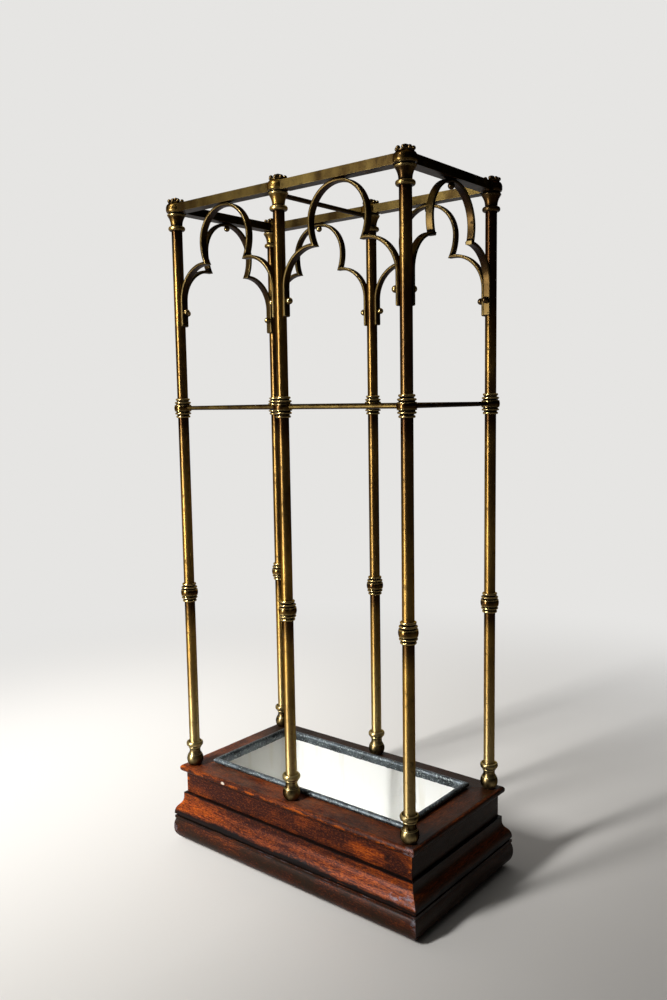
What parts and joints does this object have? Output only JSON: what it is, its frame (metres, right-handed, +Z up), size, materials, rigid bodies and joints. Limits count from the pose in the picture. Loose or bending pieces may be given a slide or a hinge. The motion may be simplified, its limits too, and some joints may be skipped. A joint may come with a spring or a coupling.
{
  "type": "stick stand",
  "caption": "Gothic-revival brass stick and umbrella stand with turned columns, trefoil arches, a moulded wooden plinth and a lift-out drip tray",
  "frame": {"origin": "centre of the underside of the plinth", "axes": "+Z up, X along the long side, -Y towards the front long side"},
  "size_m": [0.3228, 0.1798, 0.6916],
  "materials": {
    "cast_brass": "turned castings with a dull brown patina and rubbed gold highlights",
    "tube_brass": "drawn tube, aged bronze-brown with long bright streaks",
    "bar_brass": "flat and round bar, olive-brown patina, matt with fine scratches",
    "stained_wood": "dark red-brown stained and French-polished, worn orange on the edges, blackened in the quirks",
    "plain_wood": "unpolished softwood, dusty",
    "zinc": "oxidised grey-blue zinc sheet, painted cream inside",
    "iron": "black iron rod and wire"
  },
  "bodies": {
    "stand": {"arch_back_left": "bar_brass", "arch_back_right": "bar_brass", "arch_front_left": "bar_brass", "arch_front_right": "bar_brass", "arch_left_end": "bar_brass", "arch_right_end": "bar_brass", "bosses": "cast_brass", "bottom_board": "plain_wood", "capitals": "cast_brass", "column_tube_back_left": "tube_brass", "column_tube_back_middle": "tube_brass", "column_tube_back_right": "tube_brass", "column_tube_front_left": "tube_brass", "column_tube_front_middle": "tube_brass", "column_tube_front_right": "tube_brass", "feet": "cast_brass", "finial_nuts": "cast_brass", "glue_blocks": "plain_wood", "lower_collars": "cast_brass", "mid_collars": "cast_brass", "mid_cross_rod": "bar_brass", "mid_rod_back_left": "bar_brass", "mid_rod_back_right": "bar_brass", "mid_rod_front_left": "bar_brass", "mid_rod_front_right": "bar_brass", "mid_rod_left_end": "bar_brass", "mid_rod_right_end": "bar_brass", "plinth_base_back": "stained_wood", "plinth_base_front": "stained_wood", "plinth_base_left": "stained_wood", "plinth_base_right": "stained_wood", "plinth_frieze_back": "stained_wood", "plinth_frieze_front": "stained_wood", "plinth_frieze_left": "stained_wood", "plinth_frieze_right": "stained_wood", "plinth_ogee_back": "stained_wood", "plinth_ogee_front": "stained_wood", "plinth_ogee_left": "stained_wood", "plinth_ogee_right": "stained_wood", "plinth_top_back": "stained_wood", "plinth_top_front": "stained_wood", "plinth_top_left": "stained_wood", "plinth_top_right": "stained_wood", "tie_rods": "iron", "top_cross_bar": "bar_brass", "top_rail_back_left": "bar_brass", "top_rail_back_right": "bar_brass", "top_rail_front_left": "bar_brass", "top_rail_front_right": "bar_brass", "top_rail_left_end": "bar_brass", "top_rail_right_end": "bar_brass"},
    "tray": {"tray_liner": "zinc", "tray_wire": "iron"}
  },
  "joints": [
    {"name": "tray_lift", "type": "slide", "parent": "stand", "child": "tray", "axis": [0, 0, 1], "range_m": [0, 0.09]}
  ]
}
